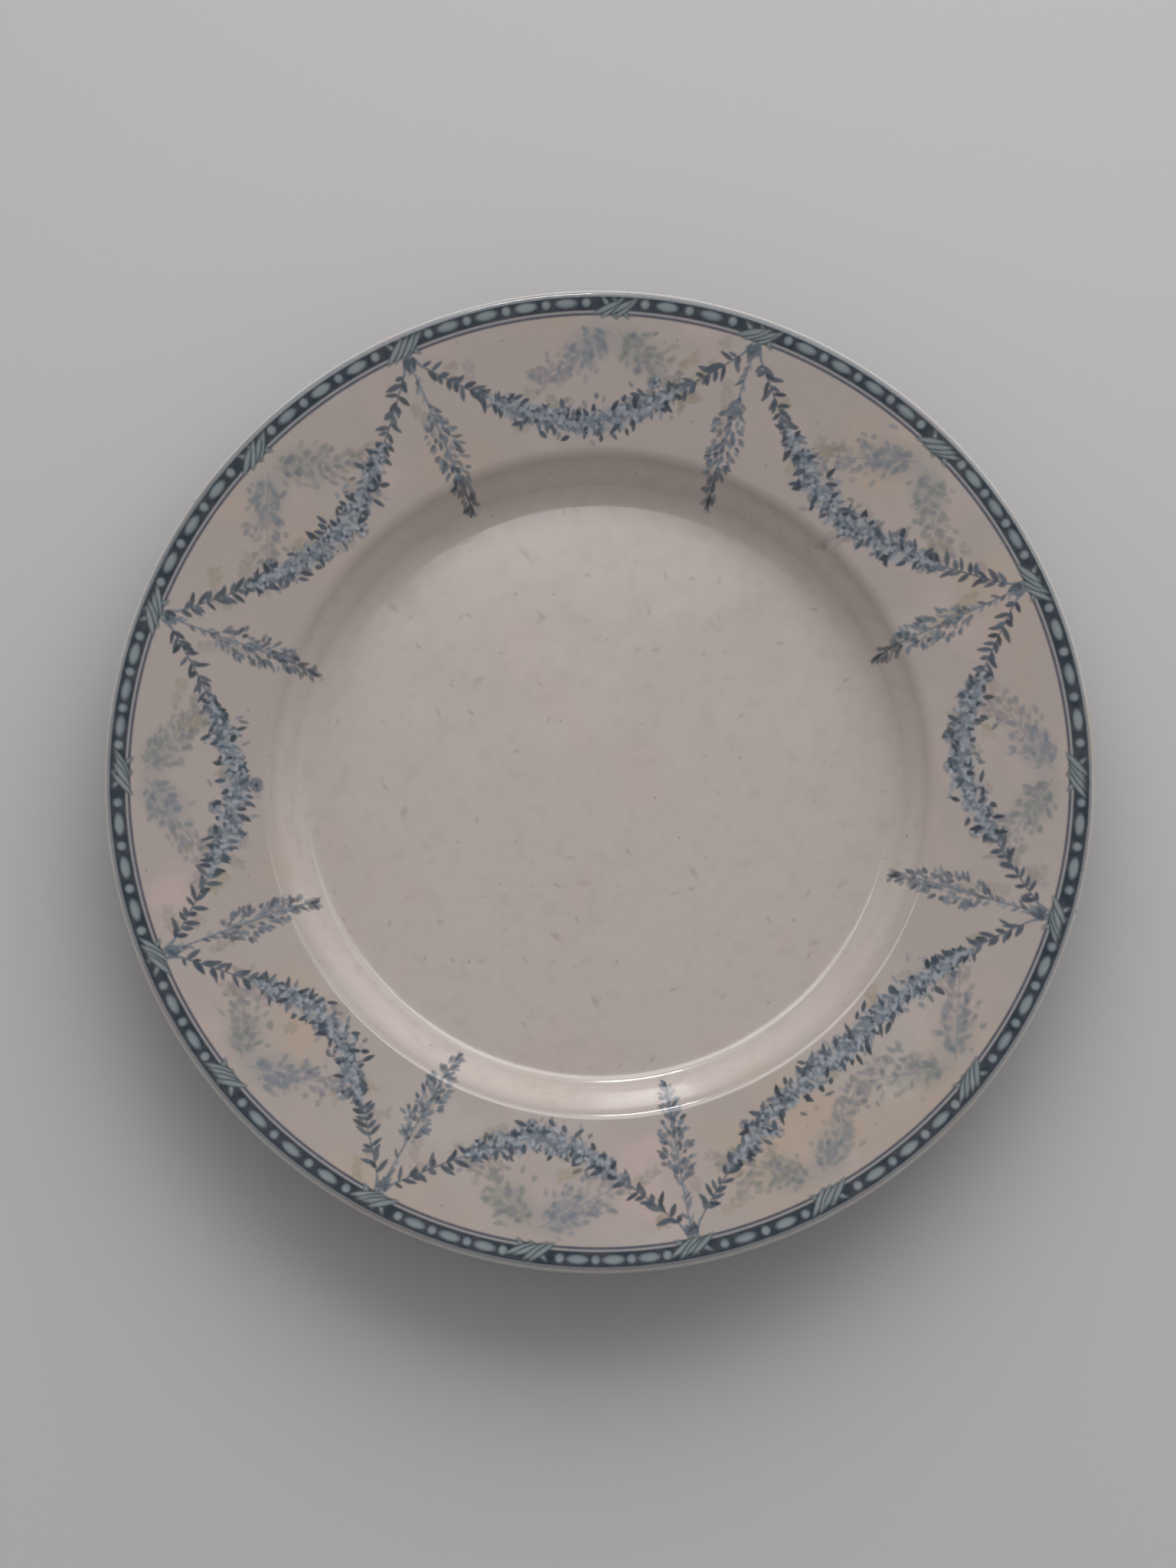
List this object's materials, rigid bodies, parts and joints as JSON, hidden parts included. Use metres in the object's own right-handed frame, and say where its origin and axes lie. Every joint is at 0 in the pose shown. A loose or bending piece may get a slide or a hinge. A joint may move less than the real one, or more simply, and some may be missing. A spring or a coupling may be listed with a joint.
{
  "type": "serving dish",
  "caption": "Round glazed earthenware serving dish with a flat well, soft steep cavetto, wide sloping rim, rounded lip and a low bare foot ring.",
  "frame": {"origin": "centre of the plane that the foot ring stands on", "axes": "+Z along the dish's axis of revolution, up out of the well; +X and +Y are any two square directions in the plane of the foot"},
  "size_m": [0.31, 0.31, 0.035],
  "materials": {
    "biscuit": "bare fired earthenware, rough and slightly stained where it stands",
    "glaze": "clear lead glaze over cream ware, blue-grey underglaze print on the rim",
    "base_glaze": "clear glaze over cream ware, a little rougher than the face"
  },
  "bodies": {
    "root": {"biscuit_body": "biscuit", "glaze_coat": "glaze", "base_glaze": "base_glaze"}
  },
  "joints": []
}
